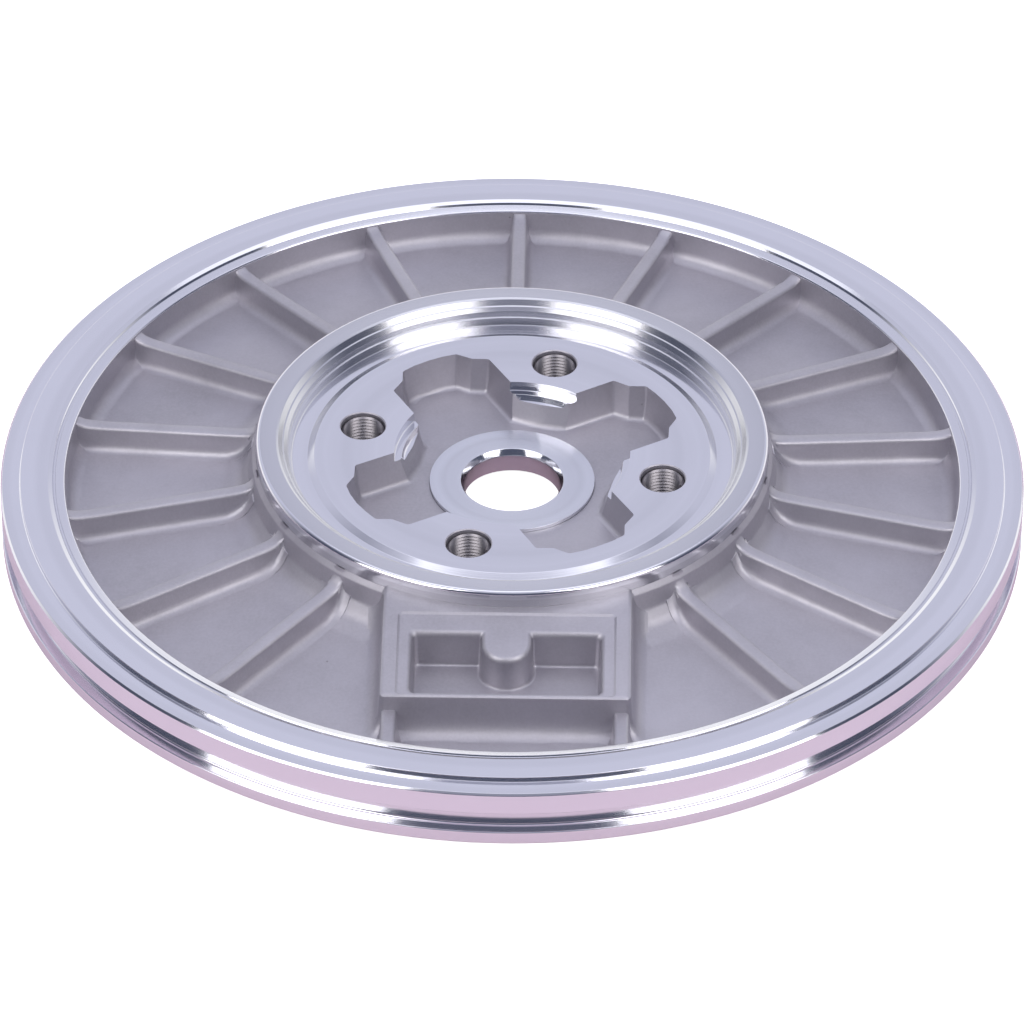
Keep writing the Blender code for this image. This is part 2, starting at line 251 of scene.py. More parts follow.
def turning_marks_group():
    """Concentric tool marks, whose phase runs with radius and height to cover faces, walls and chamfers."""
    group, given, result = new_group(
        "turning_marks",
        [("Vector", "v", None), ("Pitch", "f", 0.00035), ("Irregularity", "f", 0.5)],
        [("Height", "f"), ("Sheen", "f"), ("Bands", "f")])
    split = add_node(group, "ShaderNodeSeparateXYZ", links={0: given.outputs["Vector"]})
    square = math_node(group, "ADD", math_node(group, "MULTIPLY", split.outputs[0], split.outputs[0]),
                       math_node(group, "MULTIPLY", split.outputs[1], split.outputs[1]))
    radius = math_node(group, "SQRT", square)
    along = math_node(group, "ADD", radius, math_node(group, "MULTIPLY", split.outputs[2], 0.618))
    phase = math_node(group, "DIVIDE", along, given.outputs["Pitch"])
    wobble = add_node(group, "ShaderNodeTexNoise", {"noise_dimensions": "1D"}, {"Scale": 0.9, "Detail": 2.0},
                      {"W": phase})
    ridge = math_node(group, "SINE", math_node(group, "MULTIPLY", phase, math.tau))
    uneven = math_node(group, "MULTIPLY", math_node(group, "SUBTRACT", wobble.outputs[0], 0.5), 3.0)
    height = math_node(group, "ADD", math_node(group, "MULTIPLY", ridge, 0.5),
                       math_node(group, "MULTIPLY", uneven, given.outputs["Irregularity"]))
    bands = add_node(group, "ShaderNodeTexNoise", {"noise_dimensions": "1D"}, {"Scale": 0.055, "Detail": 3.0},
                     {"W": phase})
    smear = add_node(group, "ShaderNodeTexNoise", {}, {"Scale": 45.0, "Detail": 4.0, "Roughness": 0.6},
                     {"Vector": given.outputs["Vector"]})
    group.links.new(height, result.inputs["Height"])
    group.links.new(smear.outputs[0], result.inputs["Sheen"])
    group.links.new(bands.outputs[0], result.inputs["Bands"])
    return group


def cast_skin_group():
    """Sand-like grain, shallow waves, sparse pits and blotches of a die-cast skin."""
    group, given, result = new_group(
        "cast_skin",
        [("Vector", "v", None), ("Grain Size", "f", 0.0006), ("Pit Spacing", "f", 0.006)],
        [("Height", "f"), ("Pits", "f"), ("Blotches", "f"), ("Grain", "f")])
    vector = given.outputs["Vector"]
    grain_scale = math_node(group, "DIVIDE", 1.0, given.outputs["Grain Size"])
    grain = add_node(group, "ShaderNodeTexNoise", {}, {"Detail": 3.0, "Roughness": 0.6},
                     {"Vector": vector, "Scale": grain_scale})
    waves = add_node(group, "ShaderNodeTexNoise", {}, {"Scale": 150.0, "Detail": 2.0}, {"Vector": vector})
    blotches = add_node(group, "ShaderNodeTexNoise", {}, {"Scale": 38.0, "Detail": 5.0, "Roughness": 0.62},
                        {"Vector": vector})
    pit_scale = math_node(group, "DIVIDE", 1.0, given.outputs["Pit Spacing"])
    cells = add_node(group, "ShaderNodeTexVoronoi", {"feature": "F1"}, {"Randomness": 1.0},
                     {"Vector": vector, "Scale": pit_scale})
    rarity = add_node(group, "ShaderNodeTexWhiteNoise", {}, {}, {"Vector": cells.outputs["Position"]})
    hole = ramp(group, cells.outputs["Distance"], ((0.015, 1.0), (0.05, 0.0)))
    rare = math_node(group, "GREATER_THAN", rarity.outputs[0], 0.72)
    pits = math_node(group, "MULTIPLY", hole, rare)
    height = math_node(group, "ADD", math_node(group, "MULTIPLY", grain.outputs[0], 0.35),
                       math_node(group, "MULTIPLY", waves.outputs[0], 1.6))
    height = math_node(group, "SUBTRACT", height, pits)
    group.links.new(height, result.inputs["Height"])
    group.links.new(pits, result.inputs["Pits"])
    group.links.new(blotches.outputs[0], result.inputs["Blotches"])
    group.links.new(grain.outputs[0], result.inputs["Grain"])
    return group


def shader_group(name, maker):
    return bpy.data.node_groups.get(name) or maker()


# ---------------------------------------- materials

def new_material(name):
    material = bpy.data.materials.new(name)
    material.use_nodes = True
    tree = material.node_tree
    shader = tree.nodes["Principled BSDF"]
    shader.inputs["Metallic"].default_value = 1.0
    coordinates = tree.nodes.new("ShaderNodeTexCoord").outputs["Object"]
    return material, tree, shader, coordinates


def shade(base, factor):
    return tuple(min(1.0, channel * factor) for channel in base) + (1.0,)


def cast_material(name, base):
    """Satin as-cast aluminium with grain, blotches and small pits, with painted glints on the grain and
    painted shade in the pits.
    """
    material, tree, shader, coordinates = new_material(name)
    skin = add_node(tree, "ShaderNodeGroup", {"node_tree": shader_group("cast_skin", cast_skin_group)}, {},
                    {"Vector": coordinates})
    tone = ramp(tree, skin.outputs["Blotches"], ((0.30, 0.0), (0.72, 1.0)))
    tint = mix_colour(tree, tone, shade(base, 0.90), shade(base, 1.08))
    # painted glints: the peaks of the grain get a lighter colour
    glints = ramp(tree, skin.outputs["Grain"], ((0.35, 0.0), (0.75, 0.35)))
    tint = mix_colour(tree, glints, tint, shade(base, 1.2))
    # painted shade: the pits are darkened in colour
    tint = mix_colour(tree, math_node(tree, "MULTIPLY", skin.outputs["Pits"], 0.6), tint, shade(base, 0.35))
    tree.links.new(tint, shader.inputs["Base Color"])
    rough = ramp(tree, skin.outputs["Blotches"], ((0.3, 0.60), (0.7, 0.48)))
    tree.links.new(rough, shader.inputs["Roughness"])
    bump = add_node(tree, "ShaderNodeBump", {}, {"Strength": 0.55, "Distance": 0.00012},
                    {"Height": skin.outputs["Height"]})
    tree.links.new(bump.outputs[0], shader.inputs["Normal"])
    return material


def turned_material(name, base, roughness, pitch, depth, anisotropy):
    """Lathe-turned metal: fine concentric marks, and a gloss that spreads across them."""
    material, tree, shader, coordinates = new_material(name)
    group = shader_group("turning_marks", turning_marks_group)
    marks = add_node(tree, "ShaderNodeGroup", {"node_tree": group}, {"Pitch": pitch}, {"Vector": coordinates})
    tone = ramp(tree, marks.outputs["Bands"], ((0.32, 0.0), (0.68, 1.0)))
    tint = mix_colour(tree, tone, shade(base, 0.93), shade(base, 1.03))
    smears = ramp(tree, marks.outputs["Sheen"], ((0.45, 0.0), (0.8, 0.2)))
    tint = mix_colour(tree, smears, tint, shade(base, 0.88))
    tree.links.new(tint, shader.inputs["Base Color"])
    spread = math_node(tree, "MULTIPLY", math_node(tree, "SUBTRACT", marks.outputs["Bands"], 0.5), 0.07)
    smear = math_node(tree, "MULTIPLY", math_node(tree, "SUBTRACT", marks.outputs["Sheen"], 0.5), 0.05)
    rough = math_node(tree, "ADD", math_node(tree, "ADD", spread, smear), roughness)
    tree.links.new(rough, shader.inputs["Roughness"])
    shader.inputs["Anisotropic"].default_value = anisotropy
    shader.inputs["Anisotropic Rotation"].default_value = 0.25
    tangent = add_node(tree, "ShaderNodeTangent", {"direction_type": "RADIAL", "axis": "Z"})
    tree.links.new(tangent.outputs[0], shader.inputs["Tangent"])
    bump = add_node(tree, "ShaderNodeBump", {}, {"Strength": 0.5, "Distance": depth},
                    {"Height": marks.outputs["Height"]})
    tree.links.new(bump.outputs[0], shader.inputs["Normal"])
    return material


def plate_materials(finishes):
    """The finishes of the casting, in slot order CAST, FACE, WALL, HUB."""
    return [
        cast_material("cast_aluminium_skin", finishes.cast),
        turned_material("turned_aluminium_face", finishes.turned,
                        roughness=0.11, pitch=0.00042, depth=0.0000008, anisotropy=0.3),
        turned_material("turned_aluminium_wall", finishes.turned,
                        roughness=0.13, pitch=0.00033, depth=0.0000010, anisotropy=0.7),
        turned_material("turned_aluminium_hub", shade(finishes.turned, 0.84)[:3],
                        roughness=0.24, pitch=0.00038, depth=0.0000025, anisotropy=0.75),
    ]


# ---------------------------------------- mesh tools

def add_object(name, data):
    item = bpy.data.objects.new(name, data)
    bpy.context.scene.collection.objects.link(item)
    return item


def mesh_from(shape, name):
    bmesh.ops.recalc_face_normals(shape, faces=shape.faces)
    mesh = bpy.data.meshes.new(name)
    shape.to_mesh(mesh)
    shape.free()
    return mesh


def round_corners(points, radii, steps=4):
    """Replace each corner of a closed outline by an arc. Each radius shrinks to fit its shorter side."""
    rounded = []
    count = len(points)
    for index, (corner, radius) in enumerate(zip(points, radii)):
        here = Vector(corner)
        before = Vector(points[index - 1]) - here
        after = Vector(points[(index + 1) % count]) - here
        turn = before.angle(after)
        if radius <= 0.0 or turn > math.pi - 0.02:
            rounded.append([tuple(here)])
            continue
        reach = min(radius / math.tan(turn / 2), 0.48 * min(before.length, after.length))
        radius = reach * math.tan(turn / 2)
        start = here + before.normalized() * reach
        end = here + after.normalized() * reach
        middle = here + (before.normalized() + after.normalized()).normalized() * radius / math.sin(turn / 2)
        sweep = math.pi - turn
        arm = start - middle
        other = end - middle
        side = 1.0 if arm.x * other.y - arm.y * other.x > 0 else -1.0
        arc = []
        for step in range(steps + 1):
            angle = side * sweep * step / steps
            turned = Vector((arm.x * math.cos(angle) - arm.y * math.sin(angle),
                             arm.x * math.sin(angle) + arm.y * math.cos(angle)))
            arc.append(tuple(middle + turned))
        rounded.append(arc)
    return rounded


def outline_of(points, radii, steps=4):
    return [point for arc in round_corners(points, radii, steps) for point in arc]


def turned_mesh(name, section, steps):
    """Turn a closed section of (radius, height, corner radius, finish, spans) in millimetres round Z."""
    arcs = round_corners([entry[:2] for entry in section], [entry[2] for entry in section])
    points, finishes = [], []
    for index, arc in enumerate(arcs):
        finish, spans = section[index][3], section[index][4]
        points += arc
        finishes += [finish] * len(arc)
        start, end = arc[-1], arcs[(index + 1) % len(arcs)][0]
        for part in range(1, spans):
            points.append(tuple(a + (b - a) * part / spans for a, b in zip(start, end)))
            finishes.append(finish)
    shape = bmesh.new()
    rings = []
    for step in range(steps):
        angle = math.tau * step / steps
        spoke = (math.cos(angle) * MM, math.sin(angle) * MM)
        rings.append([shape.verts.new((r * spoke[0], r * spoke[1], h * MM)) for r, h in points])
    for step in range(steps):
        ring, following = rings[step], rings[(step + 1) % steps]
        for index, finish in enumerate(finishes):
            onward = (index + 1) % len(points)
            face = shape.faces.new((ring[index], following[index], following[onward], ring[onward]))
            face.material_index = finish
    return mesh_from(shape, name)


def stack_mesh(name, rings, finish=CAST):
    """Skin a closed body through rings of (x, y, z) points in millimetres, with flat ends."""
    shape = bmesh.new()
    made = [[shape.verts.new(tuple(value * MM for value in point)) for point in ring] for ring in rings]
    for lower, upper in zip(made, made[1:]):
        for index in range(len(lower)):
            onward = (index + 1) % len(lower)
            shape.faces.new((lower[index], lower[onward], upper[onward], upper[index]))
    shape.faces.new(made[0])
    shape.faces.new(made[-1])
    for face in shape.faces:
        face.material_index = finish
    bmesh.ops.triangulate(shape, faces=[face for face in shape.faces if len(face.verts) > 4])
    return mesh_from(shape, name)


def combine(target, operation, name, mesh, materials):
    """Apply one boolean with a temporary body. All bodies share the slot order of the plate."""
    tool = add_object(name, mesh)
    for material in materials:
        mesh.materials.append(material)
    modifier = target.modifiers.new(name, "BOOLEAN")
    modifier.operation = operation
    modifier.solver = "MANIFOLD"
    modifier.object = tool
    evaluated = target.evaluated_get(bpy.context.evaluated_depsgraph_get())
    result = bpy.data.meshes.new_from_object(evaluated)
    if not result.polygons or len(result.vertices) == len(target.data.vertices):
        raise RuntimeError(f"the boolean with {name} changed nothing or left nothing of {target.name}")
    target.modifiers.clear()
    previous = target.data
    target.data = result
    bpy.data.meshes.remove(previous)
    bpy.data.objects.remove(tool, do_unlink=True)


def soften(item, degrees=32.0):
    """Smooth shading with sharp edges kept, and normals that follow the larger faces."""
    item.data.shade_smooth()
    item.data.set_sharp_from_angle(angle=math.radians(degrees))
    weighted = item.modifiers.new("Weighted normals", "WEIGHTED_NORMAL")
    weighted.keep_sharp = True
    evaluated = item.evaluated_get(bpy.context.evaluated_depsgraph_get())
    mesh = bpy.data.meshes.new_from_object(evaluated)
    item.modifiers.clear()
    previous = item.data
    item.data = mesh
    bpy.data.meshes.remove(previous)


def turn(point, degrees):
    cosine, sine = math.cos(math.radians(degrees)), math.sin(math.radians(degrees))
    return (point[0] * cosine - point[1] * sine, point[0] * sine + point[1] * cosine)


# ---------------------------------------- the casting

def plate_section(plate):
    """Section of the plate from the insert's bore over the top, round the rim and back underneath."""
    rim = plate.rim_radius / MM
    land = plate.rim_height / MM
    step = plate.step_height / MM
    root = rim - plate.groove_depth / MM
    top = plate.hub_height / MM
    hub = plate.hub_radius / MM
    seat = plate.seat_height / MM
    edge = plate.seat_radius / MM
    high, low = plate.groove_top / MM, plate.groove_bottom / MM
    return [
        (16.25, seat, 0.0, FACE, 3),
        (edge - 0.3, seat, 0.3, WALL, 1),
        (edge + 1.1, seat - 0.65, 0.3, FACE, 1),
        (43.2, seat - 0.65, 0.25, HUB, 1),
        (43.35, seat + 0.95, 0.12, HUB, 1),
        (43.8, seat + 1.05, 0.1, HUB, 1),
        (43.95, 18.7, 0.2, HUB, 1),
        (44.65, 19.4, 0.1, HUB, 1),
        (44.95, 19.5, 0.1, HUB, 1),
        (45.75, top - 0.2, 0.1, HUB, 1),
        (46.2, top, 0.15, HUB, 1),
        (hub - 0.1, top, 0.95, WALL, 1),
        (hub, top - 1.6, 0.1, HUB, 1),
        (hub, 17.3, 0.2, CAST, 1),
        (hub + 0.75, 16.2, 1.2, CAST, 1),
        (hub + 1.45, 12.6, 2.5, CAST, 1),
        (hub + 3.2, 9.9, 4.0, CAST, 1),
        (57.0, 8.45, 6.0, CAST, 9),
        (86.9, 5.95, 2.6, CAST, 1),
        (87.6, 12.4, 0.4, WALL, 1),
        (89.3, 12.78, 0.08, WALL, 1),
        (89.5, 12.5, 0.05, WALL, 1),
        (89.8, 12.5, 0.05, WALL, 1),
        (90.1, 12.9, 0.05, WALL, 1),
        (90.9, land, 0.1, FACE, 1),
        (96.3, land, 0.15, WALL, 1),
        (96.4, step + 0.02, 0.2, FACE, 1),
        (rim - 0.4, step, 0.15, WALL, 1),
        (rim, step - 0.4, 0.2, WALL, 1),
        (rim, high, 0.25, FACE, 1),
        (root, high, 0.4, WALL, 1),
        (root, low, 0.5, FACE, 1),
        (rim, low, 0.25, WALL, 1),
        (rim, 0.6, 0.3, WALL, 1),
        (rim - 0.6, 0.0, 0.3, FACE, 1),
        (94.2, 0.0, 0.2, WALL, 1),
        (93.6, 1.2, 0.4, FACE, 4),
        (62.0, 1.2, 0.8, WALL, 1),
        (60.0, 4.6, 1.2, FACE, 4),
        (18.55, 4.6, 0.1, WALL, 1),
        (18.55, 6.15, 0.0, FACE, 1),
        (16.25, 6.15, 0.0, WALL, 1),
    ]


CAST_SURFACE = ((51.7, 13.0), (52.6, 11.1), (54.2, 9.55), (57.0, 8.5), (86.0, 6.05), (87.0, 6.6), (87.4, 8.0))


def cast_height(radius):
    """Height of the cast top of the plate at a radius, in millimetres, level inside hub and rim."""
    radius = min(max(radius, CAST_SURFACE[0][0]), CAST_SURFACE[-1][0])
    for (r0, h0), (r1, h1) in zip(CAST_SURFACE, CAST_SURFACE[1:]):
        if radius <= r1:
            return h0 + (h1 - h0) * (radius - r0) / (r1 - r0)


def fin_section(width, top, foot, fillet):
    """Half a cross-section of a rib, from the middle of its top to the end of its foot."""
    edge = 0.75
    draft = 0.055 * (top - foot)
    points = [(0.0, top), (width / 2 - edge, top)]
    points += [(width / 2 - edge + edge * math.sin(a), top - edge + edge * math.cos(a))
               for a in (math.radians(30), math.radians(60), math.radians(90))]
    wall = width / 2 + draft
    points.append((wall, foot + fillet))
    for degrees in (30, 55, 75):
        a = math.radians(degrees)
        points.append((wall + fillet * (1 - math.cos(a)), foot + fillet * (1 - math.sin(a))))
    points += [(wall + fillet * 1.25, foot - 0.06), (wall + fillet * 1.25, foot - 1.2)]
    return points


def fin_mesh(name, start, end, width, top_at, fillet, place):
    """A cast fin along a straight path from start to end. Its foot follows the cast surface."""
    spans = 26
    shape = bmesh.new()
    sections = []
    for index in range(spans + 1):
        # the stations crowd towards both ends, where the fin runs into its neighbours
        share = 0.5 - 0.5 * math.cos(math.pi * index / spans)
        along = start + (end - start) * share
        middle = place(along, 0.0)
        foot = cast_height(math.hypot(*middle))
        half = fin_section(width, max(top_at(along), foot + 0.4), foot, fillet)
        ring = [(-x, z) for x, z in reversed(half[1:])] + half
        sections.append([shape.verts.new((*(v * MM for v in place(along, x)), z * MM)) for x, z in ring])
    for ring, following in zip(sections, sections[1:]):
        for index in range(len(ring)):
            onward = (index + 1) % len(ring)
            shape.faces.new((ring[index], ring[onward], following[onward], following[index]))
    shape.faces.new(sections[0])
    shape.faces.new(sections[-1])
    bmesh.ops.triangulate(shape, faces=[face for face in shape.faces if len(face.verts) > 4])
    return mesh_from(shape, name)


def rib_top(ribs):
    """Height of a rib's top along its radius: a slope with a short upward sweep at each end."""
    inner, outer = ribs.top_at_hub / MM, ribs.top_at_rim / MM

    def top(radius):
        slope = inner + (outer - inner) * (radius - RIB_SLOPE_START) / (RIB_END - RIB_SLOPE_START)
        at_hub = 1.0 * math.exp((RIB_SLOPE_START - radius) / 0.9)
        return slope + at_hub + 1.2 * math.exp((radius - RIB_END) / 1.3)
    return top


def rib_tree(material):
    """Geometry nodes that set one rib out round Z."""
    tree = bpy.data.node_groups.new("ribs_round_hub", "GeometryNodeTree")
    face = tree.interface
    face.new_socket("Geometry", in_out="INPUT", socket_type="NodeSocketGeometry")
    face.new_socket("Count", in_out="INPUT", socket_type="NodeSocketInt")
    face.new_socket("Pitch", in_out="INPUT", socket_type="NodeSocketFloat")
    face.new_socket("First Angle", in_out="INPUT", socket_type="NodeSocketFloat")
    face.new_socket("Geometry", in_out="OUTPUT", socket_type="NodeSocketGeometry")
    given = tree.nodes.new("NodeGroupInput")
    result = tree.nodes.new("NodeGroupOutput")
    points = add_node(tree, "GeometryNodePoints", links={"Count": given.outputs["Count"]})
    index = tree.nodes.new("GeometryNodeInputIndex")
    step = math_node(tree, "MULTIPLY", index.outputs[0], given.outputs["Pitch"])
    angle = math_node(tree, "ADD", step, given.outputs["First Angle"])
    rotation = add_node(tree, "ShaderNodeCombineXYZ", links={2: angle})
    spread = add_node(tree, "GeometryNodeInstanceOnPoints", links={
        "Points": points.outputs[0], "Instance": given.outputs["Geometry"], "Rotation": rotation.outputs[0]})
    realized = add_node(tree, "GeometryNodeRealizeInstances", links={0: spread.outputs[0]})
    painted = add_node(tree, "GeometryNodeSetMaterial", {}, {"Material": material}, {0: realized.outputs[0]})
    tree.links.new(painted.outputs[0], result.inputs[0])
    return tree


def run_tree(item, tree, values):
    """Bake a geometry-nodes tree on an object and return the plain mesh."""
    modifier = item.modifiers.new(tree.name, "NODES")
    modifier.node_group = tree
    for socket in tree.interface.items_tree:
        if socket.in_out == "INPUT" and socket.name in values:
            modifier[socket.identifier] = values[socket.name]
    evaluated = item.evaluated_get(bpy.context.evaluated_depsgraph_get())
    mesh = bpy.data.meshes.new_from_object(evaluated)
    item.modifiers.clear()
    return mesh


def ribs_mesh(ribs, material):
    fillet, width = ribs.fillet / MM, ribs.width / MM
    rib = fin_mesh("rib", RIB_START, RIB_END, width, rib_top(ribs), fillet,
                   lambda along, across: (along, across))
    holder = add_object("rib", rib)
    tree = rib_tree(material)
    first = math.radians(-90.0) + 2 * ribs.pitch
    mesh = run_tree(holder, tree, {"Count": ribs.count, "Pitch": ribs.pitch, "First Angle": first})
    mesh.materials.clear()
    bpy.data.objects.remove(holder, do_unlink=True)
    return mesh


def pad_height(pad, y):
    return pad.height / MM - 0.08 * (-y - 50.2)


def pad_outline(pad, offset, corner):
    """The pad seen from above, as many points for every offset. Its back lies inside the hub ring."""
    half, front = pad.half_width / MM + offset, -pad.front / MM - offset
    inside = 47.6
    shoulder = -math.sqrt(inside * inside - half * half)
    start = math.atan2(shoulder, half)
    back = [(inside * math.cos(a), inside * math.sin(a))
            for a in (start + (-math.pi - 2 * start) * i / 10 for i in range(1, 10))]
    points = [(-half, front), (half, front), (half, shoulder), *back, (-half, shoulder)]
    arcs = round_corners(points, [corner, corner] + [0.0] * (len(points) - 2))
    spans = [16, 14] + [1] * (len(points) - 3) + [14]
    outline = []
    for index, (arc, parts) in enumerate(zip(arcs, spans)):
        start, end = arc[-1], arcs[(index + 1) % len(arcs)][0]
        outline += arc
        outline += [tuple(a + (b - a) * i / parts for a, b in zip(start, end)) for i in range(1, parts)]
    return outline


def pad_rings(pad):
    """The pad's block with rounded top edges and a filleted foot."""
    rings = []
    for inset, drop in ((0.8, 0.0), (0.35, 0.1), (0.1, 0.32), (0.0, 0.75)):
        rings.append([(x, y, pad_height(pad, y) - drop) for x, y in pad_outline(pad, -inset, 0.9)])
    for outset, rise in ((0.3, 3.6), (0.55, 2.2), (1.05, 1.15), (1.75, 0.45), (2.5, 0.1), (3.1, -0.08)):
        rings.append([(x, y, cast_height(math.hypot(x, y)) + rise) for x, y in pad_outline(pad, outset, 1.2)])
    rings.append([(x, y, 5.4) for x, y in pad_outline(pad, 3.1, 1.2)])
    return rings


def panel_rings(pad):
    """The shallow recess in the pad's top."""
    rings = []
    for outset, depth in ((0.5, 1.2), (0.45, 0.02), (0.05, -0.3), (-0.1, -0.36)):
        half, back, front = 20.4 + outset, -52.0 + outset, -74.1 - outset
        points = outline_of([(-half, front), (half, front), (half, back), (-half, back)], [0.8] * 4)
        rings.append([(x, y, pad_height(pad, y) + depth) for x, y in points])
    return rings


def pad_pocket_outline(pad, d):
    """The pocket's outline with its tongue, d outside the nominal walls."""
    half, tongue = pad.pocket_half_width / MM + d, pad.tongue_half_width / MM - d
    front, back, centre = -73.0 - d, -57.0 + d, -59.6
    end = [(tongue * math.cos(a), centre - tongue * math.sin(a))
           for a in (math.pi * i / 16 for i in range(17))]
    points = [(-half, front), (half, front), (half, back), (tongue, back), *end,
              (-tongue, back), (-half, back)]
    return outline_of(points, [1.1, 1.1, 1.1, 0.5] + [0.0] * len(end) + [0.5, 1.1], 6)


def pad_pocket_rings(pad):
    floor = pad.pocket_floor / MM
    rings = []
    for d, lift in ((1.3, 2.0), (1.15, -0.3), (0.6, -0.45), (0.2, -0.85), (-0.02, -1.6)):
        rings.append([(x, y, pad_height(pad, y) + lift) for x, y in pad_pocket_outline(pad, d)])
    for d, rise in ((-0.2, 0.7), (-0.3, 0.3), (-0.5, 0.08), (-0.8, 0.0)):
        rings.append([(x, y, floor + rise) for x, y in pad_pocket_outline(pad, d)])
    return rings


def pocket_outline(pocket, inset, middle, ends):
    """Outline of the oil pocket: four lobes joined by arcs that bulge towards the bore."""
    half = pocket.lobe_half_width / MM - inset
    reach = pocket.lobe_reach / MM - inset
    outline = []
    for lobe in range(4):
        side = [(29.0 - 0.6 * inset, half), (30.9 - 0.8 * inset, 7.8 - 0.8 * inset),
                (33.7 - inset, 6.1 - 0.8 * inset)]
        tip = [(reach * math.cos(a), reach * math.sin(a)) for a in (-0.09, 0.0, 0.09)]
        start = math.atan2(half, math.sqrt(ends * ends - half * half))
        arcs = []
        for index in range(9):
            share = index / 8
            angle = start + (math.pi / 2 - 2 * start) * share
            bulge = middle + (ends - middle) * (2 * share - 1) ** 2
            arcs.append((bulge * math.cos(angle), bulge * math.sin(angle)))
        points = [(x, -y) for x, y in side] + tip + list(reversed(side)) + arcs
        radii = [0.9, 0.7, 0.9, 0.0, 0.0, 0.0, 0.9, 0.7, 0.9, 0.6] + [0.0] * 7 + [0.6]
        outline += [(turn(point, 120.0 + 90.0 * lobe), radius) for point, radius in zip(points, radii)]
    return outline_of([point for point, _ in outline], [radius for _, radius in outline], 3)


def rough_edge(point, height, amount):
    """Push a point of a cast wall in or out a little, as sand and flash leave it."""
    seed = Vector((point[0] * 0.9, point[1] * 0.9, height * 0.25))
    shift = noise.noise_vector(seed) * amount
    return (point[0] + shift.x, point[1] + shift.y, height)


def oil_pocket_rings(pocket):
    floor = pocket.floor / MM
    levels = [(0.0, 21.4, 22.3, CUT_TOP), (0.0, 21.4, 22.3, 16.6), (0.15, 20.9, 22.0, 15.0),
              (0.35, 20.3, 21.5, 13.0), (0.6, 19.7, 21.0, 11.2), (0.75, 19.3, 20.6, floor + 1.0),
              (0.95, 19.0, 20.3, floor + 0.45), (1.3, 18.7, 20.0, floor + 0.12), (1.9, 18.3, 19.5, floor)]
    rings = []
    for inset, middle, ends, height in levels:
        outline = pocket_outline(pocket, inset, middle, ends)
        rings.append([rough_edge(point, min(height, 17.0), 0.16)[:2] + (height,) for point in outline])
    return rings


def shelf_section(pocket):
    radius, height = pocket.shelf_radius / MM, pocket.shelf_height / MM
    return [
        (0.5, CUT_TOP, 0.0, FACE, 1),
        (radius, CUT_TOP, 0.0, WALL, 1),
        (radius, height, 0.2, FACE, 1),
        (21.7, height, 0.12, WALL, 1),
        (21.2, height - 1.1, 0.0, FACE, 1),
        (0.5, height - 1.1, 0.0, FACE, 1),
    ]


def bolt_places(pocket):
    radius = pocket.bolt_circle / MM
    return [turn((radius, 0.0), 75.0 + 90.0 * index) for index in range(4)]


def bolt_hole_mesh(pocket, place):
    """A drilled blind hole with a broken edge and a conical bottom."""
    radius = pocket.bolt_hole / MM
    mouth, point = radius + 0.2, 0.3
    rings = []
    for r, height in ((mouth, CUT_TOP), (mouth, 16.6), (radius, 16.4), (radius, 7.4), (point, 6.0)):
        rings.append([(place[0] + r * math.cos(a), place[1] + r * math.sin(a), height)
                      for a in (math.tau * i / HOLE_STEPS for i in range(HOLE_STEPS))])
    return stack_mesh("bolt_hole", rings, CAST)


def add_plate(plate, materials):
    mesh = turned_mesh(PLATE_NAME, plate_section(plate), PLATE_STEPS)
    for material in materials:
        mesh.materials.append(material)
    return add_object(PLATE_NAME, mesh)


def unite_legs(item, materials):
    """The two short legs that run from the drain pad to the rim."""
    for side in (-1, 1):
        leg = fin_mesh("leg", LEG_START, LEG_END, LEG_WIDTH, lambda along: LEG_TOP, LEG_FILLET,
                       lambda along, across, side=side: (side * LEG_SIDE + across, -along))
        combine(item, "UNION", "leg", leg, materials)


def shape_pad(item, pad, materials):
    """The drain pad with its shallow panel and its pocket."""
    for operation, name, rings in (("UNION", "drain_pad", pad_rings(pad)),
                                   ("DIFFERENCE", "pad_panel", panel_rings(pad)),
                                   ("DIFFERENCE", "pad_pocket", pad_pocket_rings(pad))):
        combine(item, operation, name, stack_mesh(name, rings), materials)


def cut_seat(item, pocket, materials):
    """The turned shelf, the oil pocket and the bolt holes."""
    shelf = turned_mesh("shelf", shelf_section(pocket), PLATE_STEPS)
    combine(item, "DIFFERENCE", "shelf", shelf, materials)
    oil_pocket = stack_mesh("oil_pocket", oil_pocket_rings(pocket))
    combine(item, "DIFFERENCE", "oil_pocket", oil_pocket, materials)
    for place in bolt_places(pocket):
        combine(item, "DIFFERENCE", "bolt_hole", bolt_hole_mesh(pocket, place), materials)


class BACKPLATE_OT_casting(bpy.types.Operator):
    """Turn the plate, add ribs, pad and legs, and cut the oil pocket and the holes"""

    bl_idname = "backplate.casting"
    bl_label = "Casting"

    def execute(self, context):
        settings = context.scene.back_plate
        materials = plate_materials(settings.finishes)
        item = add_plate(settings.plate, materials)
        combine(item, "UNION", "ribs", ribs_mesh(settings.ribs, materials[CAST]), materials)
        unite_legs(item, materials)
        shape_pad(item, settings.pad, materials)
        cut_seat(item, settings.pocket, materials)
        soften(item)
        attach(item, "root")
        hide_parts("back_plate")
        return {"FINISHED"}


# ---------------------------------------- inserts

SEAL_TOP, SEAL_MOUTH, SEAL_BORE = 0, 1, 2


def seal_section():
    """Section of the seal insert, with its collar below and its bore last."""
    return [
        (10.1, 9.85, 0.2, SEAL_TOP, 2),
        (16.2, 9.85, 0.06, SEAL_TOP, 1),
        (16.2, 6.1, 0.0, SEAL_TOP, 1),
        (18.5, 6.1, 0.0, SEAL_TOP, 1),
        (18.5, 4.6, 0.2, SEAL_TOP, 2),
        (9.9, 4.6, 0.15, SEAL_TOP, 1),
        (9.4, 5.1, 0.15, SEAL_BORE, 2),
        (9.4, 8.6, 0.5, SEAL_MOUTH, 1),
    ]


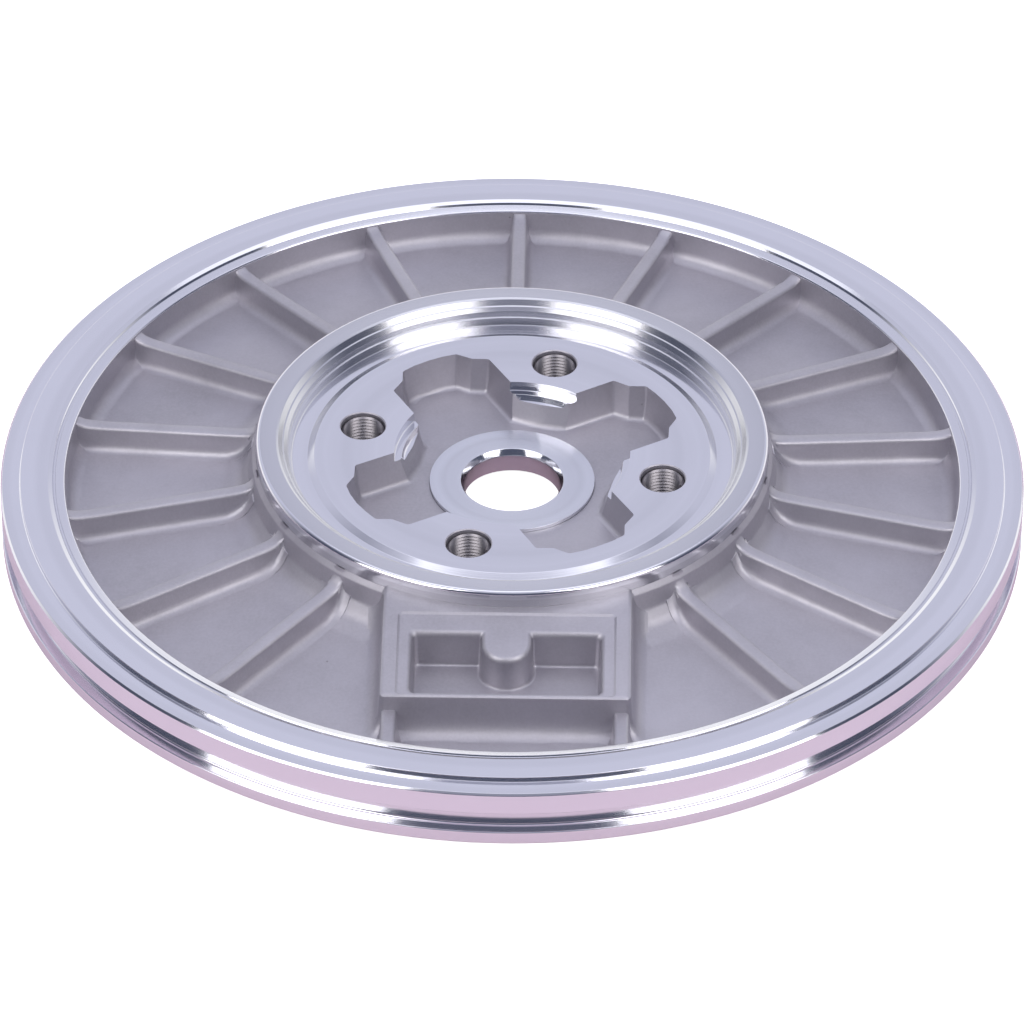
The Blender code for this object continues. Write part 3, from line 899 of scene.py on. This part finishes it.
def seal_materials(finishes):
    """The finishes of the seal insert, in slot order SEAL_TOP, SEAL_MOUTH, SEAL_BORE."""
    return [
        turned_material("turned_seal_face", finishes.seal,
                        roughness=0.26, pitch=0.0003, depth=0.000002, anisotropy=0.5),
        turned_material("polished_bore_mouth", finishes.seal,
                        roughness=0.12, pitch=0.0002, depth=0.0000005, anisotropy=0.6),
        # the bore gets a darker, reddish colour: a painted reflection of the shaded floor
        turned_material("seal_bore_painted_reflection", finishes.bore,
                        roughness=0.24, pitch=0.0002, depth=0.000001, anisotropy=0.6),
    ]


class BACKPLATE_OT_seal_insert(bpy.types.Operator):
    """Turn the ring that is pressed into the middle of the plate"""

    bl_idname = "backplate.seal_insert"
    bl_label = "Seal insert"

    def execute(self, context):
        mesh = turned_mesh("seal_insert_ring", seal_section(), SEAL_STEPS)
        for material in seal_materials(context.scene.back_plate.finishes):
            mesh.materials.append(material)
        item = add_object("seal_insert_ring", mesh)
        soften(item)
        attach(item, "root")
        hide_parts("seal_insert")
        return {"FINISHED"}


def coil_tree():
    """Geometry nodes for a coil of diamond wire that stands on Z."""
    tree = bpy.data.node_groups.new("wire_thread_coil", "GeometryNodeTree")
    face = tree.interface
    for name, kind in (("Geometry", "NodeSocketGeometry"), ("Radius", "NodeSocketFloat"),
                       ("Height", "NodeSocketFloat"), ("Turns", "NodeSocketFloat"),
                       ("Wire Radius", "NodeSocketFloat"), ("Material", "NodeSocketMaterial")):
        face.new_socket(name, in_out="INPUT", socket_type=kind)
    face.new_socket("Geometry", in_out="OUTPUT", socket_type="NodeSocketGeometry")
    given = tree.nodes.new("NodeGroupInput")
    result = tree.nodes.new("NodeGroupOutput")
    spiral = add_node(tree, "GeometryNodeCurveSpiral", {}, {"Resolution": 40}, {
        "Rotations": given.outputs["Turns"], "Start Radius": given.outputs["Radius"],
        "End Radius": given.outputs["Radius"], "Height": given.outputs["Height"]})
    upright = add_node(tree, "GeometryNodeSetCurveNormal", {"mode": "Z_UP"}, {}, {0: spiral.outputs[0]})
    wire = add_node(tree, "GeometryNodeCurvePrimitiveCircle", {}, {"Resolution": 4},
                    {"Radius": given.outputs["Wire Radius"]})
    skin = add_node(tree, "GeometryNodeCurveToMesh", {}, {"Fill Caps": True},
                    {"Curve": upright.outputs[0], "Profile Curve": wire.outputs[0]})
    realized = add_node(tree, "GeometryNodeRealizeInstances", links={0: skin.outputs[0]})
    painted = add_node(tree, "GeometryNodeSetMaterial", links={
        0: realized.outputs[0], "Material": given.outputs["Material"]})
    tree.links.new(painted.outputs[0], result.inputs[0])
    return tree


class BACKPLATE_OT_thread_inserts(bpy.types.Operator):
    """Wind a wire thread insert into each bolt hole"""

    bl_idname = "backplate.thread_inserts"
    bl_label = "Thread inserts"

    def execute(self, context):
        settings = context.scene.back_plate
        material = turned_material("thread_wire_steel", settings.finishes.thread,
                                   roughness=0.42, pitch=0.0005, depth=0.000003, anisotropy=0.3)
        tree = coil_tree()
        for number, place in enumerate(bolt_places(settings.pocket), start=1):
            name = f"thread_coil_{number}"
            item = add_object(name, bpy.data.meshes.new(name))
            mesh = run_tree(item, tree, {
                "Radius": COIL_RADIUS * MM, "Height": COIL_HEIGHT * MM, "Turns": COIL_HEIGHT / COIL_PITCH,
                "Wire Radius": WIRE_RADIUS * MM, "Material": material})
            mesh.transform(Matrix.Translation((place[0] * MM, place[1] * MM, COIL_FOOT * MM)))
            mesh.name = name
            item.data = mesh
            soften(item, 40.0)
            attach(item, "root")
            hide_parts(f"thread_insert_{number}")
        return {"FINISHED"}


# ---------------------------------------- stage

def floor_material(base):
    """Pale studio floor, plain white to the camera and tinted by base in reflections."""
    material, tree, shader, _ = new_material("studio_floor")
    shader.inputs["Metallic"].default_value = 0.0
    shader.inputs["Roughness"].default_value = 0.8
    path = tree.nodes.new("ShaderNodeLightPath")
    tint = mix_colour(tree, path.outputs["Is Camera Ray"], (*base, 1.0), (0.96, 0.96, 0.96, 1.0))
    tree.links.new(tint, shader.inputs["Base Color"])
    glow = mix_colour(tree, path.outputs["Is Camera Ray"], (0.0, 0.0, 0.0, 1.0), (1.0, 1.0, 1.0, 1.0))
    tree.links.new(glow, shader.inputs["Emission Color"])
    shader.inputs["Emission Strength"].default_value = 1.0
    return material


def studio_world():
    """A pale room: white behind the object, bluish above, darker at the sides and in front."""
    world = bpy.data.worlds.new("studio")
    world.use_nodes = True
    tree = world.node_tree
    direction = tree.nodes.new("ShaderNodeTexCoord").outputs["Generated"]
    way = add_node(tree, "ShaderNodeSeparateXYZ", links={0: direction})
    behind = ramp(tree, way.outputs[1], ((0.05, 0.0), (0.55, 1.0)))
    above = ramp(tree, way.outputs[2], ((0.66, 0.0), (0.92, 1.0)))
    low = ramp(tree, way.outputs[2], ((0.28, 1.0), (0.48, 0.0)))
    bright = math_node(tree, "MAXIMUM", behind, above)
    sky = mix_colour(tree, bright, (0.085, 0.095, 0.14, 1.0), (0.61, 0.62, 0.755, 1.0))
    tint = mix_colour(tree, math_node(tree, "MULTIPLY", behind, low), sky, (1.1, 1.1, 1.12, 1.0))
    path = tree.nodes.new("ShaderNodeLightPath")
    seen = mix_colour(tree, path.outputs["Is Camera Ray"], tint, (1.0, 1.0, 1.0, 1.0))
    tree.links.new(seen, tree.nodes["Background"].inputs["Color"])
    return world


def area_light(name, place, size, power, tint):
    """A softbox that points at the foot of the shaft axis."""
    data = bpy.data.lights.new(name, "AREA")
    data.shape = "RECTANGLE"
    data.size, data.size_y = size
    data.energy = power
    data.color = tint
    lamp = add_object(name, data)
    lamp.location = place
    lamp.rotation_euler = (Vector() - Vector(place)).to_track_quat("-Z", "Y").to_euler()


def around(azimuth, elevation, distance):
    """A point at an azimuth from the camera's side, in degrees, towards +X."""
    a, e = math.radians(azimuth), math.radians(elevation)
    level = distance * math.cos(e)
    return (level * math.sin(a), -level * math.cos(a), distance * math.sin(e))


def add_floor(base):
    shape = bmesh.new()
    bmesh.ops.create_grid(shape, x_segments=1, y_segments=1, size=FLOOR_HALF)
    floor = add_object("studio_floor", mesh_from(shape, "studio_floor"))
    floor.location.z = -FLOOR_DROP
    floor.data.materials.append(floor_material(base))


def add_lights(power):
    """A softbox on each side in front, and a weaker one above and behind."""
    place = around(SOFTBOX_AZIMUTH, SOFTBOX_ELEVATION, SOFTBOX_DISTANCE)
    for side, name in ((-1, "left_softbox"), (1, "right_softbox")):
        area_light(name, (side * place[0], place[1], place[2]), SOFTBOX_SIZE, power, SOFTBOX_TINT)
    area_light("top_softbox", TOP_BOX_PLACE, TOP_BOX_SIZE, power * TOP_BOX_SHARE, TOP_BOX_TINT)


def add_camera(scene, height, stage):
    """The camera looks from the drain pad's side at the plate, at the given height on its axis."""
    direction = Vector((math.sin(stage.azimuth), -math.cos(stage.azimuth), 0.0))
    camera = add_object("camera", bpy.data.cameras.new("camera"))
    camera.data.lens = stage.lens
    camera.data.sensor_width = SENSOR_WIDTH_MM
    camera.data.clip_start, camera.data.clip_end = CLIP_START, CLIP_END
    ray = direction * math.cos(stage.elevation) + Vector((0, 0, 1)) * math.sin(stage.elevation)
    camera.location = Vector((0.0, 0.0, height)) + ray * stage.distance
    pitch = math.pi / 2 - stage.elevation - stage.tilt
    turned = Matrix.Rotation(stage.azimuth, 4, "Z") @ Matrix.Rotation(pitch, 4, "X")
    turned = turned @ Matrix.Rotation(stage.roll, 4, "Z")
    camera.rotation_euler = turned.to_euler()
    scene.camera = camera


class BACKPLATE_OT_stage(bpy.types.Operator):
    """Add the floor, the lights, the world and the camera"""

    bl_idname = "backplate.stage"
    bl_label = "Stage"

    def execute(self, context):
        scene = context.scene
        settings = scene.back_plate
        add_floor(settings.finishes.floor)
        scene.world = studio_world()
        add_lights(settings.stage.softbox_power)
        add_camera(scene, settings.plate.rim_height, settings.stage)
        scene.view_settings.view_transform = "Standard"
        return {"FINISHED"}


class BACKPLATE_PT_panel(bpy.types.Panel):
    """Buttons for each piece of the back plate"""

    bl_idname = "BACKPLATE_PT_panel"
    bl_label = "Back plate"
    bl_space_type = "VIEW_3D"
    bl_region_type = "UI"
    bl_category = "Back plate"

    def draw(self, context):
        for operator in OPERATORS:
            self.layout.operator(operator.bl_idname)


SETTINGS = (PlateSizes, PocketSizes, RibSizes, PadSizes, Finishes, StageSettings, BackPlateSettings)
OPERATORS = (BACKPLATE_OT_casting, BACKPLATE_OT_seal_insert, BACKPLATE_OT_thread_inserts, BACKPLATE_OT_stage)
CLASSES = SETTINGS + OPERATORS + (BACKPLATE_PT_panel,)


def register():
    for item in CLASSES:
        bpy.utils.register_class(item)
    bpy.types.Scene.back_plate = bpy.props.PointerProperty(type=BackPlateSettings)


def unregister():
    del bpy.types.Scene.back_plate
    for item in reversed(CLASSES):
        bpy.utils.unregister_class(item)


def main():
    register()
    bpy.ops.backplate.casting()
    bpy.ops.backplate.seal_insert()
    bpy.ops.backplate.thread_inserts()
    bpy.ops.backplate.stage()


if __name__ == "__main__":
    main()
